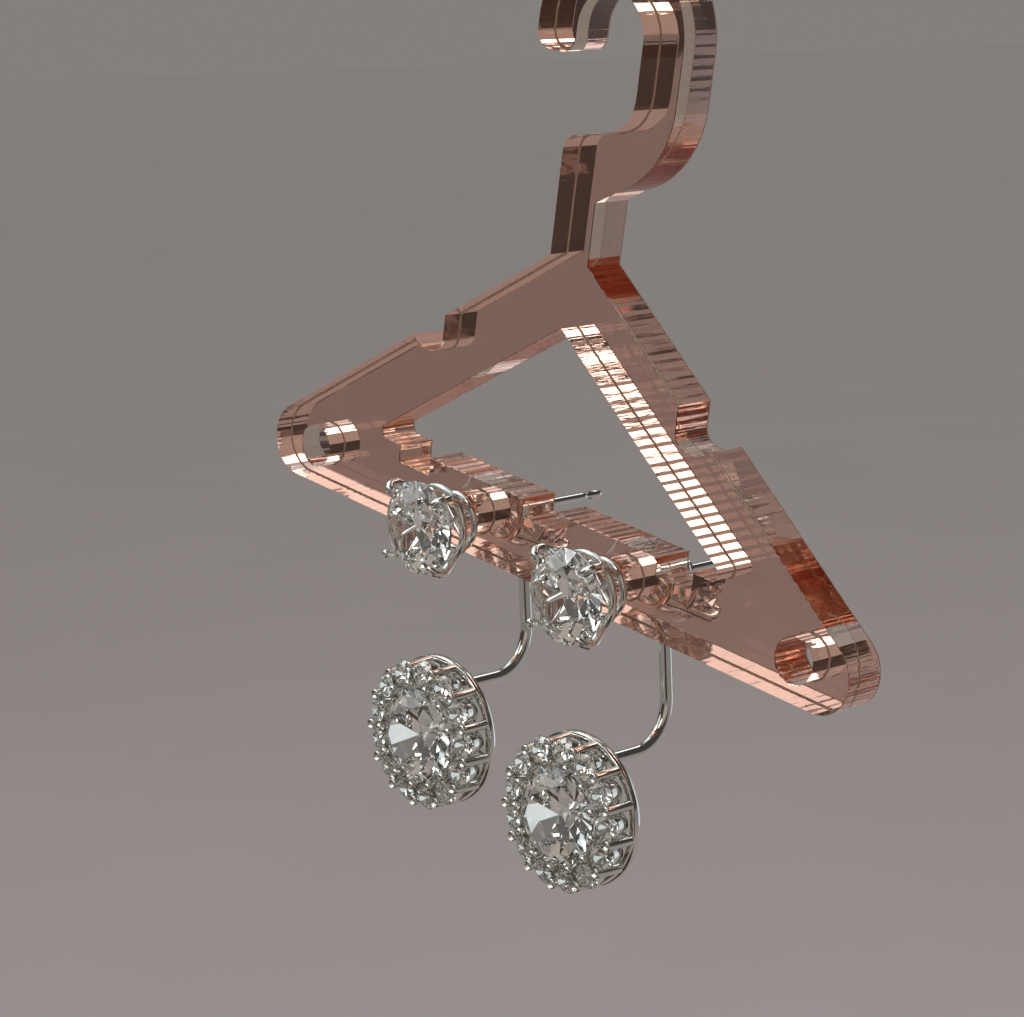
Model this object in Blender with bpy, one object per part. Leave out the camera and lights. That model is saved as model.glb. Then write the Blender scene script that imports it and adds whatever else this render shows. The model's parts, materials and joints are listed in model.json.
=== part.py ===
"""A pair of ear jacket earrings on a small hanger of rose gold mirror acrylic.

Each earring is a round stone in a four claw stud whose post passes through the hanger's bar, and a
jacket: a loop on the post, a wire that bends under the bar, and a round cluster of stones in front.
X runs to the right seen from the front, Y to the back, Z straight up. The origin is the top of the
hook's inside, where the hanger hangs. The hanger hangs askew in its own plane, the jackets plumb.
"""

import math

import bmesh
import bpy
from mathutils import Matrix, Vector

MM = 0.001
FULL_TURN = 2 * math.pi

# Hanger, in millimetres in its own plane: u along the bar, w up from the bar's lower edge
PLATE_THICKNESS = 3.0
HANG_ANGLE = math.radians(12.3)
SHOULDER_SLOPE = math.radians(35.2)
SHOULDER_APEX = 23.5
END_RADIUS = 2.6
ARM_WIDTH = 4.75
BAR_HEIGHT = 5.5
WINDOW_CORNER = 0.5
SLOT_WIDTH = 3.1
SLOT_DEPTH = 1.25
SLOT_SPACING = 12.6
NOTCH_INNER = 11.1
NOTCH_CREST = 14.2
NOTCH_WALL = 1.65
NOTCH_ROUND = 1.1
END_HOLE_U = 23.2
END_HOLE_W = 2.75
HOLE_RADIUS = 1.5
POST_HOLE_W = 2.6
NECK_WIDTH = 3.5
NECK_CORNER = 1.4
NECK_TOP = 30.45
HOOK_U = 1.22
HOOK_W = 37.1
HOOK_INNER_RADIUS = 2.95
HOOK_WIDTH = 3.5
HOOK_FOOT_W = 33.85
HOOK_FOOT_WIDER = 0.35
HOOK_FOOT_ANGLE = math.radians(68)
HOOK_FOOT_JOIN = 26.5
HOOK_INNER_FOOT_RADIUS = 2.9
HOOK_TIP_W = 35.3
HOOK_TIP_ROUND = 1.2
ARC_STEP = math.radians(15)

# Studs, in millimetres: y is behind the plate's front face, negative in front of it
POST_SPACING = 14.4
POST_W = 2.2
POST_RADIUS = 0.3
STUD_STONE_RADIUS = 3.25
STUD_GIRDLE_Y = -4.0
STUD_CLAWS = 4
STUD_CLAW_TURN = math.radians(41)
STUD_CLAW_RADIUS = 0.36
STUD_CLAW_R = 3.67
STUD_BASE_Y = -0.65
STUD_BASE_RING = 1.9
STUD_GALLERY_Y = -2.3
STUD_GALLERY_RING = 2.62
STUD_RING_WIRE = 0.28
STUD_RING_SIDES = 20

# A stud claw from the base bar's middle out, up past the gallery and over the girdle
STUD_CLAW_ROUTE = (
    {"r": 0.0, "y": STUD_BASE_Y, "width": 0.8},
    {"r": 1.6, "y": STUD_BASE_Y, "width": 0.8},
    {"r": STUD_BASE_RING, "y": -0.85, "width": 1.0},
    {"r": STUD_GALLERY_RING, "y": STUD_GALLERY_Y, "width": 1.0},
    {"r": STUD_CLAW_R, "y": -3.75, "width": 1.0},
    {"r": STUD_CLAW_R, "y": -4.35, "width": 1.0},
    {"r": 3.2, "y": -4.78, "width": 0.85},
    {"r": 2.85, "y": -4.92, "width": 0.6},
)

# The post from its solder at the base bars to its tip, with the groove that the clutch grips
POST_ROUTE = (
    {"y": STUD_BASE_Y, "width": 1.3},
    {"y": -0.15, "width": 1.0},
    {"y": 11.65, "width": 1.0},
    {"y": 11.9, "width": 0.78},
    {"y": 12.15, "width": 1.05},
    {"y": 13.2, "width": 1.0},
    {"y": 13.4, "width": 0.6},
)

CLUTCH_RADIUS = 1.4
CLUTCH_LENGTH = 1.6
CLUTCH_FIT = 0.06
CLUTCH_GAP = 0.25
CLUTCH_SIDES = 20

# Jacket, in millimetres from the middle of its loop
LOOP_RADIUS = 1.0
LOOP_SIDES = 16
WIRE_RADIUS = 0.44
WIRE_BEND_RADIUS = 3.2
WIRE_BEND_STEPS = 7
WIRE_REACH_DOWN = 11.5
WIRE_END_WIDTH = 0.9
CLUSTER_DROP = 14.2
CLUSTER_FORWARD = 9.8
SWING_LOOP_Y = {"left": 5.6, "right": 5.0}

# Cluster, in millimetres from its middle: r across its face, d forward of its middle plane
HALO_STONES = 13
HALO_TURN = math.radians(8)
HALO_RADIUS = 4.4
HALO_STONE_RADIUS = 0.87
HALO_GIRDLE_D = 0.55
HALO_TILT = math.radians(15)
CLUSTER_RING_SIDES = 2 * HALO_STONES
CENTRE_STONE_RADIUS = 3.3
CENTRE_GIRDLE_D = 0.72
BACK_D = -1.5
BACK_RING_R = 4.95
BACK_RING_WIRE = 0.25
BASE_RING_R = 2.75
INNER_BEAD = {"r": 3.56, "d": 1.1, "radius": 0.27, "sides": 8}

# What stands in each gap between two halo stones: the wire's radius and its points
GAP_WIRES = (
    {
        "name": "outer claw",
        "wire": 0.21,
        "route": (
            {"r": BACK_RING_R, "d": BACK_D, "width": 1.0},
            {"r": 5.0, "d": 0.93, "width": 1.0},
            {"r": 4.97, "d": 1.05, "width": 0.55},
        ),
    },
    {
        "name": "inner claw",
        "wire": 0.16,
        "route": (
            {"r": BASE_RING_R, "d": BACK_D, "width": 1.0},
            {"r": INNER_BEAD["r"], "d": 0.3, "width": 1.0},
            {"r": INNER_BEAD["r"], "d": INNER_BEAD["d"], "width": 1.0},
        ),
    },
    {
        "name": "spoke",
        "wire": 0.17,
        "route": (
            {"r": BASE_RING_R, "d": BACK_D, "width": 1.0},
            {"r": BACK_RING_R, "d": BACK_D, "width": 1.0},
        ),
    },
)

# Collars that the stones sit in: radii and depths of each collar's section
COLLARS = (
    {"inner": 4.76, "outer": 5.06, "back": -0.45, "front": -0.04},
    {"inner": 3.36, "outer": 3.72, "back": -0.35, "front": 0.05},
)

# A round stone's cut: lengths are parts of its radius, slopes are from the girdle's plane
GIRDLE_HALF = 0.03
TABLE_REACH = 0.58
CROWN_SLOPE = math.radians(34)
CROWN_HALF_SLOPE = math.radians(39)
PAVILION_SLOPE = math.radians(38)
PAVILION_HALF_SLOPE = math.radians(40)
MAIN_REACH = 0.99
STAR_SLOPE = math.radians(20)
STAR_REACH = 0.57


def material(name, colour, roughness, metallic=0.0, transmission=0.0, ior=1.45):
    """A Principled material in the piece's own colour and finish."""
    made = bpy.data.materials.new(name)
    made.use_nodes = True
    shader = made.node_tree.nodes["Principled BSDF"]
    shader.inputs["Base Color"].default_value = (*colour, 1.0)
    shader.inputs["Roughness"].default_value = roughness
    shader.inputs["Metallic"].default_value = metallic
    shader.inputs["Transmission Weight"].default_value = transmission
    shader.inputs["IOR"].default_value = ior
    return made


def place(name, mesh, finish, matrix):
    """A named piece in the model's collection, at its own origin."""
    piece = bpy.data.objects.new(name, mesh)
    piece.matrix_world = matrix
    mesh.materials.clear()
    mesh.materials.append(finish)
    bpy.data.collections["ear_jacket_earrings"].objects.link(piece)
    return piece


def arc(centre, radius, start, end):
    """Points of an arc in the plane of the plate, from one angle to the other, ends included."""
    steps = max(2, math.ceil(abs(end - start) / ARC_STEP))
    angles = [start + (end - start) * step / steps for step in range(steps + 1)]
    return [(centre[0] + radius * math.cos(a), centre[1] + radius * math.sin(a)) for a in angles]


def circle(centre, radius):
    return arc(centre, radius, 0, FULL_TURN)[:-1]


def mirrored(points):
    return [(-u, w) for u, w in points]


def shoulder(u):
    """Height of the shoulder's upper edge at a distance from the hanger's middle."""
    return SHOULDER_APEX - math.tan(SHOULDER_SLOPE) * abs(u)


def right_shoulder():
    """Upper edge of the right arm, from the neck over the notch to the round end."""
    wall_foot = shoulder(NOTCH_INNER) - NOTCH_WALL
    round_centre = (NOTCH_INNER + NOTCH_ROUND, wall_foot)
    end_u = ((SHOULDER_APEX - END_RADIUS) * math.cos(SHOULDER_SLOPE) - END_RADIUS) / math.sin(
        SHOULDER_SLOPE
    )
    return [
        (NECK_WIDTH / 2, shoulder(NECK_WIDTH / 2)),
        (NOTCH_INNER, shoulder(NOTCH_INNER)),
        *arc(round_centre, NOTCH_ROUND, math.pi, 1.5 * math.pi),
        (NOTCH_CREST - NOTCH_ROUND, wall_foot - NOTCH_ROUND),
        (NOTCH_CREST, shoulder(NOTCH_CREST)),
        *arc((end_u, END_RADIUS), END_RADIUS, math.pi / 2 - SHOULDER_SLOPE, -math.pi / 2),
    ]


def hook_outline():
    """Neck and hook, from the right foot of the neck round the tip to the neck's left corner."""
    middle = (HOOK_U, HOOK_W)
    outer = HOOK_INNER_RADIUS + HOOK_WIDTH
    foot_radius = outer + HOOK_FOOT_WIDER
    foot_u = HOOK_U - HOOK_FOOT_WIDER
    inner_foot = (HOOK_U + HOOK_INNER_RADIUS - HOOK_INNER_FOOT_RADIUS, HOOK_FOOT_W)
    corner = (-NECK_WIDTH / 2 + NECK_CORNER, NECK_TOP - NECK_CORNER)
    tip_outer = (HOOK_U - outer + HOOK_TIP_ROUND, HOOK_TIP_W + HOOK_TIP_ROUND)
    tip_inner = (HOOK_U - HOOK_INNER_RADIUS - HOOK_TIP_ROUND, HOOK_TIP_W + HOOK_TIP_ROUND)
    return [
        (NECK_WIDTH / 2, HOOK_FOOT_JOIN),
        *arc((foot_u, HOOK_FOOT_W), foot_radius, -HOOK_FOOT_ANGLE, 0),
        *arc(middle, outer, 0, math.pi),
        *arc(tip_outer, HOOK_TIP_ROUND, math.pi, 1.5 * math.pi),
        *arc(tip_inner, HOOK_TIP_ROUND, -math.pi / 2, 0),
        *arc(middle, HOOK_INNER_RADIUS, math.pi, 0),
        *arc(inner_foot, HOOK_INNER_FOOT_RADIUS, 0, -math.pi / 2),
        *arc(corner, NECK_CORNER, math.pi / 2, math.pi),
    ]


def window_outline():
    """The triangular window, with the three slots that dip into the bar's upper edge."""
    apex = SHOULDER_APEX - ARM_WIDTH / math.cos(SHOULDER_SLOPE)
    corner_u = (apex - BAR_HEIGHT) / math.tan(SHOULDER_SLOPE)
    half_angle = SHOULDER_SLOPE / 2
    round_u = corner_u - WINDOW_CORNER / math.tan(half_angle)
    round_centre = (round_u, BAR_HEIGHT + WINDOW_CORNER)
    corner = arc(round_centre, WINDOW_CORNER, math.pi / 2 - SHOULDER_SLOPE, -math.pi / 2)
    right = [(0, apex), *corner]
    floor = BAR_HEIGHT - SLOT_DEPTH
    for middle in (SLOT_SPACING, 0, -SLOT_SPACING):
        near = middle + SLOT_WIDTH / 2
        far = middle - SLOT_WIDTH / 2
        right += [(near, BAR_HEIGHT), (near, floor), (far, floor), (far, BAR_HEIGHT)]
    return right + mirrored(reversed(corner))


def hanger_to_world():
    """Turns the hanger's plane into the world, with the origin at the top of the hook's inside."""
    seat_u = HOOK_U - HOOK_INNER_RADIUS * math.sin(HANG_ANGLE)
    seat_w = HOOK_W + HOOK_INNER_RADIUS * math.cos(HANG_ANGLE)
    turn = Matrix.Rotation(HANG_ANGLE, 4, "Y")
    return turn @ Matrix.Translation(Vector((-seat_u, 0, -seat_w)) * MM)


def hanger_plate(finish):
    """The cut plate: a flat outline with its window and holes, as thick as the acrylic."""
    right = right_shoulder()
    outline = [*hook_outline(), *mirrored(right), *reversed(right)]
    holes = [window_outline()]
    for side in (-1, 1):
        holes.append(circle((side * END_HOLE_U, END_HOLE_W), HOLE_RADIUS))
        holes.append(circle((side * POST_SPACING / 2, POST_HOLE_W), HOLE_RADIUS))
    curve = bpy.data.curves.new("hanger_plate", "CURVE")
    curve.dimensions = "2D"
    curve.fill_mode = "BOTH"
    curve.extrude = PLATE_THICKNESS / 2 * MM
    for loop in [outline, *holes]:
        spline = curve.splines.new("POLY")
        spline.points.add(len(loop) - 1)
        spline.use_cyclic_u = True
        for point, (u, w) in zip(spline.points, loop):
            point.co = (u * MM, w * MM, 0, 1)
    upright = Matrix.Rotation(math.pi / 2, 4, "X")
    return place("hanger_plate", curve, finish, hanger_to_world() @ upright)


def post_point(side):
    """Where a post's axis meets the plate's middle plane, in metres in the world."""
    u = POST_SPACING / 2 * (1 if side == "right" else -1)
    return hanger_to_world() @ (Vector((u, 0, POST_W)) * MM)


def behind_front(y):
    """World Y, in metres, of a depth in millimetres behind the plate's front face."""
    return (y - PLATE_THICKNESS / 2) * MM


def wire(points, radius, sides=6, cyclic=False):
    """A round wire through points in millimetres, each with a factor on its radius."""
    curve = bpy.data.curves.new("wire", "CURVE")
    curve.dimensions = "3D"
    curve.bevel_depth = radius * MM
    curve.bevel_resolution = sides // 2 - 2
    curve.use_fill_caps = not cyclic
    spline = curve.splines.new("POLY")
    spline.points.add(len(points) - 1)
    spline.use_cyclic_u = cyclic
    for target, (x, y, z, factor) in zip(spline.points, points):
        target.co = (x * MM, y * MM, z * MM, 1)
        target.radius = factor
    return as_solid(curve)


def as_solid(curve):
    """A mesh object made from a curve, with its caps welded on."""
    maker = bpy.data.objects.new("maker", curve)
    bpy.context.scene.collection.objects.link(maker)
    evaluated = maker.evaluated_get(bpy.context.evaluated_depsgraph_get())
    mesh = bpy.data.meshes.new_from_object(evaluated)
    bpy.data.objects.remove(maker)
    shape = bmesh.new()
    shape.from_mesh(mesh)
    bmesh.ops.remove_doubles(shape, verts=shape.verts, dist=1e-6)
    bmesh.ops.recalc_face_normals(shape, faces=shape.faces)
    shape.to_mesh(mesh)
    shape.free()
    return mesh


def inner_bead(turn):
    """The round bead that an inner claw ends in, its poles to the front and back."""
    sides = INNER_BEAD["sides"]
    shape = bmesh.new()
    bmesh.ops.create_uvsphere(
        shape, u_segments=sides, v_segments=sides // 2, radius=INNER_BEAD["radius"] * MM
    )
    x, y, z, _ = around(INNER_BEAD["r"], -INNER_BEAD["d"], turn)
    poles = Matrix.Rotation(math.pi / 2, 4, "X")
    shape.transform(Matrix.Translation(Vector((x, y, z)) * MM) @ poles)
    return finished(shape)


def ring(section, steps):
    """A flat section, radii and depths in millimetres, spun about the Y axis into a closed ring."""
    shape = bmesh.new()
    corners = [
        shape.verts.new((section[r] * MM, -section[d] * MM, 0))
        for r, d in (("inner", "back"), ("outer", "back"), ("outer", "front"), ("inner", "front"))
    ]
    edges = [shape.edges.new((corners[i - 1], corners[i])) for i in range(4)]
    bmesh.ops.spin(
        shape,
        geom=[*corners, *edges],
        cent=(0, 0, 0),
        axis=(0, 1, 0),
        angle=FULL_TURN,
        steps=steps,
        use_merge=True,
    )
    bmesh.ops.remove_doubles(shape, verts=shape.verts, dist=1e-6)
    bmesh.ops.recalc_face_normals(shape, faces=shape.faces)
    return finished(shape)


def finished(shape):
    mesh = bpy.data.meshes.new("shape")
    shape.to_mesh(mesh)
    shape.free()
    return mesh


def fused(meshes):
    """Overlapping closed meshes made one body, as soldered metal is."""
    scene = bpy.context.scene.collection
    tools = bpy.data.collections.new("soldered")
    scene.children.link(tools)
    objects = [bpy.data.objects.new("solder", mesh) for mesh in meshes]
    base = objects[0]
    scene.objects.link(base)
    for other in objects[1:]:
        tools.objects.link(other)
    union = base.modifiers.new("union", "BOOLEAN")
    union.operation = "UNION"
    union.solver = "EXACT"
    union.operand_type = "COLLECTION"
    union.collection = tools
    evaluated = base.evaluated_get(bpy.context.evaluated_depsgraph_get())
    mesh = bpy.data.meshes.new_from_object(evaluated)
    for item in objects:
        bpy.data.objects.remove(item)
    bpy.data.collections.remove(tools)
    return mesh


def around(radius, depth, angle, factor=1.0):
    """A wire point at a radius and depth, turned about the Y axis from straight up to the right."""
    return (radius * math.sin(angle), depth, radius * math.cos(angle), factor)


def round_ring(radius, depth, wire_radius, steps):
    """A ring of round wire about the Y axis."""
    turns = [step * FULL_TURN / steps for step in range(steps)]
    return wire([around(radius, depth, turn) for turn in turns], wire_radius, cyclic=True)


def facet(shape, turn, slope, reach, height, up):
    """Grinds one flat: a plane at a slope to the girdle, through a reach from the axis."""
    outwards = Vector((math.cos(turn), math.sin(turn), 0))
    level = Vector((0, 0, height))
    cut = bmesh.ops.bisect_plane(
        shape,
        geom=[*shape.verts, *shape.edges, *shape.faces],
        dist=1e-5,
        plane_co=level + outwards * reach,
        plane_no=outwards * math.sin(slope) + Vector((0, 0, up * math.cos(slope))),
        clear_outer=True,
    )
    edges = [item for item in cut["geom_cut"] if isinstance(item, bmesh.types.BMEdge)]
    bmesh.ops.contextual_create(shape, geom=edges)


def cut_stone(radius, girdle_sides, mains, full):
    """A round cut stone with its table to the front: mains all round, and if full the small facets."""
    girdle = GIRDLE_HALF * radius
    table = girdle + (1 - TABLE_REACH) * radius * math.tan(CROWN_SLOPE)
    shape = bmesh.new()
    bmesh.ops.create_cone(
        shape,
        cap_ends=True,
        segments=girdle_sides,
        radius1=radius,
        radius2=radius,
        depth=2 * radius,
    )
    flat = radius * math.cos(math.pi / girdle_sides)
    if full:
        for step in range(girdle_sides):
            turn = (step + 0.5) * FULL_TURN / girdle_sides
            facet(shape, turn, CROWN_HALF_SLOPE, flat, girdle, 1)
            facet(shape, turn, PAVILION_HALF_SLOPE, flat, -girdle, -1)
    for step in range(mains):
        turn = (step + (0 if full else 0.5)) * FULL_TURN / mains
        reach = MAIN_REACH * radius if full else flat
        facet(shape, turn, CROWN_SLOPE, reach, girdle, 1)
        facet(shape, turn, PAVILION_SLOPE, reach, -girdle, -1)
    if full:
        star_reach = STAR_REACH * radius * math.cos(math.pi / mains)
        for step in range(mains):
            turn = (step + 0.5) * FULL_TURN / mains
            facet(shape, turn, STAR_SLOPE, star_reach, table, 1)
    facet(shape, 0, 0, 0, table, 1)
    bmesh.ops.recalc_face_normals(shape, faces=shape.faces)
    bmesh.ops.scale(shape, vec=(MM, MM, MM), verts=shape.verts)
    shape.transform(Matrix.Rotation(math.pi / 2, 4, "X"))
    return finished(shape)


def stud_setting():
    """Claws, rings, base bars and post as one soldered solid, from the plate's middle plane."""
    half = PLATE_THICKNESS / 2
    solids = []
    for claw in range(STUD_CLAWS):
        turn = STUD_CLAW_TURN + HANG_ANGLE + claw * FULL_TURN / STUD_CLAWS
        points = [around(row["r"], row["y"] - half, turn, row["width"]) for row in STUD_CLAW_ROUTE]
        solids.append(wire(points, STUD_CLAW_RADIUS))
    for radius, y in ((STUD_BASE_RING, STUD_BASE_Y), (STUD_GALLERY_RING, STUD_GALLERY_Y)):
        solids.append(round_ring(radius, y - half, STUD_RING_WIRE, STUD_RING_SIDES))
    points = [(0, row["y"] - half, 0, row["width"]) for row in POST_ROUTE]
    solids.append(wire(points, POST_RADIUS, sides=8))
    return fused(solids)


def clutch():
    """A plain round back with a bore for the post, from its own front face."""
    section = {
        "inner": POST_RADIUS + CLUTCH_FIT,
        "outer": CLUTCH_RADIUS,
        "back": -CLUTCH_LENGTH,
        "front": 0,
    }
    return ring(section, CLUTCH_SIDES)


def jacket_wire():
    """The wire from the loop down behind the bar and forward to the cluster's base ring."""
    bend_top = -(WIRE_REACH_DOWN - WIRE_BEND_RADIUS)
    route = [(0, -LOOP_RADIUS, 1), (0, bend_top / 2, 1)]
    for step in range(WIRE_BEND_STEPS + 1):
        turn = step / WIRE_BEND_STEPS * math.pi / 2
        y = -WIRE_BEND_RADIUS * (1 - math.cos(turn))
        z = bend_top - WIRE_BEND_RADIUS * math.sin(turn)
        route.append((y, z, 1))
    end_y = -(CLUSTER_FORWARD + BACK_D)
    route.append((end_y, -WIRE_REACH_DOWN, WIRE_END_WIDTH))
    return wire([(0, y, z, factor) for y, z, factor in route], WIRE_RADIUS, sides=8)


def jacket_frame():
    """Loop, wire, rings, collars, claws and beads as one soldered solid, from the loop's middle."""
    loop = round_ring(LOOP_RADIUS, 0, WIRE_RADIUS, LOOP_SIDES)
    cluster = []
    for step in range(HALO_STONES):
        turn = HALO_TURN + (step + 0.5) * FULL_TURN / HALO_STONES
        for item in GAP_WIRES:
            points = [around(row["r"], -row["d"], turn, row["width"]) for row in item["route"]]
            cluster.append(wire(points, item["wire"]))
        cluster.append(inner_bead(turn))
    for radius in (BACK_RING_R, BASE_RING_R):
        cluster.append(round_ring(radius, -BACK_D, BACK_RING_WIRE, CLUSTER_RING_SIDES))
    cluster += [ring(section, CLUSTER_RING_SIDES) for section in COLLARS]
    drop = Matrix.Translation(Vector((0, -CLUSTER_FORWARD, -CLUSTER_DROP)) * MM)
    for mesh in cluster:
        mesh.transform(drop)
    return fused([loop, jacket_wire(), *cluster])


def halo_place(step):
    """Where a halo stone sits from the cluster's middle: on its ring, leaning outwards."""
    turn = Matrix.Rotation(HALO_TURN + step * FULL_TURN / HALO_STONES, 4, "Y")
    out = Matrix.Translation(Vector((0, -HALO_GIRDLE_D, HALO_RADIUS)) * MM)
    lean = Matrix.Rotation(-HALO_TILT, 4, "X")
    return turn @ out @ lean


def main():
    for item in list(bpy.data.objects):
        bpy.data.objects.remove(item)
    model = bpy.data.collections.new("ear_jacket_earrings")
    bpy.context.scene.collection.children.link(model)

    acrylic = material("rose_gold_mirror_acrylic", (0.42, 0.16, 0.11), 0.05, metallic=0.6)
    silver = material("rhodium_plated_silver", (0.72, 0.72, 0.69), 0.12, metallic=1.0)
    zirconia = material("clear_zirconia", (0.95, 0.96, 0.98), 0.0, transmission=1.0, ior=2.16)
    hanger_plate(acrylic)

    setting_mesh = stud_setting()
    jacket_mesh = jacket_frame()
    clutch_mesh = clutch()
    stud_mesh = cut_stone(STUD_STONE_RADIUS, 16, 8, full=True)
    centre_mesh = cut_stone(CENTRE_STONE_RADIUS, 16, 8, full=True)
    halo_mesh = cut_stone(HALO_STONE_RADIUS, 8, 8, full=False)
    for side in ("left", "right"):
        post = post_point(side)
        on_post = Matrix.Translation(post)
        loop_y = SWING_LOOP_Y[side]
        swing = Matrix.Translation(Vector((post.x, behind_front(loop_y), post.z)))
        middle = swing @ Matrix.Translation(Vector((0, -CLUSTER_FORWARD, -CLUSTER_DROP)) * MM)
        clutch_y = behind_front(loop_y + WIRE_RADIUS + CLUTCH_GAP)
        clutch_seat = Matrix.Translation(Vector((post.x, clutch_y, post.z)))
        at_girdle = Matrix.Translation(Vector((post.x, behind_front(STUD_GIRDLE_Y), post.z)))
        place(f"stud_setting_{side}", setting_mesh, silver, on_post)
        place(f"stud_stone_{side}", stud_mesh, zirconia, at_girdle)
        place(f"clutch_{side}", clutch_mesh, silver, clutch_seat)
        place(f"jacket_frame_{side}", jacket_mesh, silver, swing)
        centre = middle @ Matrix.Translation(Vector((0, -CENTRE_GIRDLE_D, 0)) * MM)
        place(f"jacket_centre_stone_{side}", centre_mesh, zirconia, centre)
        for step in range(HALO_STONES):
            place(f"halo_stone_{side}_{step + 1:02d}", halo_mesh, zirconia, middle @ halo_place(step))


main()
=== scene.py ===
"""Looks of a pair of ear jacket earrings on a small hanger of rose gold mirror acrylic.

X runs to the right seen from the front, Y to the back, Z straight up, in metres. The origin is the
top of the hook's inside. Names that end in no unit hold metres, except where a heading says that a
group is in millimetres.
"""

import json
import math
import random

import bmesh
import bpy
import numpy as np
from bpy.props import FloatProperty, FloatVectorProperty, IntProperty, PointerProperty
from mathutils import Matrix, Vector


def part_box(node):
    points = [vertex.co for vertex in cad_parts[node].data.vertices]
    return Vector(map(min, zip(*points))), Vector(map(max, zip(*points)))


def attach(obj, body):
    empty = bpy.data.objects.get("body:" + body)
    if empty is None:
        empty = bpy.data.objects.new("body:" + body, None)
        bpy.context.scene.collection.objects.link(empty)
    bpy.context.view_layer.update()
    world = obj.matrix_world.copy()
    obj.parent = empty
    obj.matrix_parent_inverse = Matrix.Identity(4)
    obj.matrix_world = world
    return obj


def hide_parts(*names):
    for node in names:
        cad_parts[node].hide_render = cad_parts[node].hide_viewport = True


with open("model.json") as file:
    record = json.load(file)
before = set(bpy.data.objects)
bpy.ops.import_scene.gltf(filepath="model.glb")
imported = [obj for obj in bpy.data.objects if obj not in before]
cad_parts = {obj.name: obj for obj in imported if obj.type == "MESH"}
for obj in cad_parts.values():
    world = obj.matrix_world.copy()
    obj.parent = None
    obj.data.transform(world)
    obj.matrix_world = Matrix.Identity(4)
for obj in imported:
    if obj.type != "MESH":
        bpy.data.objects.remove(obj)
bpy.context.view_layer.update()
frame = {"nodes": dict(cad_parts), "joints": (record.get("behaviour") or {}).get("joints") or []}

bl_info = {
    "name": "Ear Jacket Earrings",
    "version": (1, 0, 0),
    "blender": (4, 5, 0),
    "location": "View3D > Sidebar > Ear Jackets",
    "description": "Dresses a pair of ear jackets on an acrylic hanger and sets up its studio",
    "category": "Object",
}

MM = 0.001
FULL_TURN = 2 * math.pi
SIDES = ("left", "right")
MERGE = 1e-7

# Hanger, in millimetres in its own plane: u along the bar, w up from the bar's lower edge
HANG_ANGLE = math.radians(12.3)
SHOULDER_SLOPE = math.radians(35.2)
SHOULDER_APEX = 23.5
END_RADIUS = 2.6
ARM_WIDTH = 4.75
BAR_HEIGHT = 5.5
WINDOW_CORNER = 0.5
SLOT_WIDTH = 3.1
SLOT_DEPTH = 1.25
SLOT_SPACING = 12.6
NOTCH_INNER = 11.1
NOTCH_CREST = 14.2
NOTCH_WALL = 1.65
NOTCH_ROUND = 1.1
END_HOLE_U = 23.2
END_HOLE_W = 2.75
POST_HOLE_U = 7.2
POST_HOLE_W = 2.6
HOLE_RADIUS = 1.5
NECK_WIDTH = 3.5
NECK_CORNER = 1.4
NECK_TOP = 30.45
HOOK_U = 1.22
HOOK_W = 37.1
HOOK_INNER_RADIUS = 2.95
HOOK_WIDTH = 3.5
HOOK_FOOT_W = 33.85
HOOK_FOOT_WIDER = 0.35
HOOK_FOOT_ANGLE = math.radians(68)
HOOK_FOOT_JOIN = 26.5
HOOK_INNER_FOOT_RADIUS = 2.9
HOOK_TIP_W = 35.3
HOOK_TIP_ROUND = 1.2
ARC_STEP = math.radians(6)
SHARP_CORNER = math.radians(20)

# A rib takes this part of its pitch to slope in, and the rest to come back. Its depth varies by the
# other two parts, on the hanger's outer edge and in its holes.
RIB_LEAN = 0.65
RIM_UNEVEN = 0.85
HOLE_UNEVEN = 0.2
RIB_SEED = 11

# Points along an edge are told apart to this many decimals of a millimetre, and the edge's direction
# is read this far to each side, in millimetres
MARK_DECIMALS = 2
DIRECTION_REACH = 0.05

# Air between the mirror film and the coat behind it, so that the two sheets never share a plane
FILM_CLEARANCE = 0.004 * MM

# Which of the hanger's finishes its mirrored back and the strip without film take
FILM_INDEX = 1
STRIP_INDEX = 2


def table(columns, *rows):
    """Rows whose values are read by the names of their columns."""
    return [dict(zip(columns.split(), row)) for row in rows]


# A stud's base and gallery rings and its claws, in millimetres: r from the post's axis, d forward of
# the hanger's face. A width is in parts of the wire's own.
STUD_BASE_D = 0.65
STUD_GALLERY_D = 2.3
CLAW_ROUTE = table(
    "r d width",
    (0.0, STUD_BASE_D, 0.9),
    (1.5, STUD_BASE_D, 0.9),
    (1.9, 0.95, 1.0),
    (2.62, STUD_GALLERY_D, 1.0),
    (3.54, 3.62, 1.0),
    (3.63, 4.1, 1.0),
    (3.55, 4.52, 1.0),
    (3.22, 4.78, 1.03),
)

# The post, in the same terms, from its solder to the groove near its tip
POST_ROUTE = table(
    "r d width",
    (0.0, STUD_BASE_D, 1.35),
    (0.0, 0.3, 1.05),
    (0.0, 0.0, 1.0),
    (0.0, -11.4, 1.0),
    (0.0, -11.65, 0.98),
    (0.0, -11.8, 0.78),
    (0.0, -12.0, 0.78),
    (0.0, -12.15, 1.05),
    (0.0, -12.9, 1.03),
    (0.0, -13.2, 0.9),
)

# How a wire ends, in parts of its radius: along it past its last point, and across it
ROUND_TIP = table("along across", (0.42, 0.91), (0.71, 0.71), (0.88, 0.47), (0.97, 0.24))
LOW_TIP = table("along across", (0.25, 0.91), (0.42, 0.71), (0.53, 0.47), (0.58, 0.24))
CUPPED_TIP = table(
    "along across",
    (0.22, 0.99),
    (0.40, 0.90),
    (0.46, 0.78),
    (0.36, 0.66),
    (0.12, 0.52),
    (-0.04, 0.30),
    (-0.08, 0.12),
)

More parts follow.
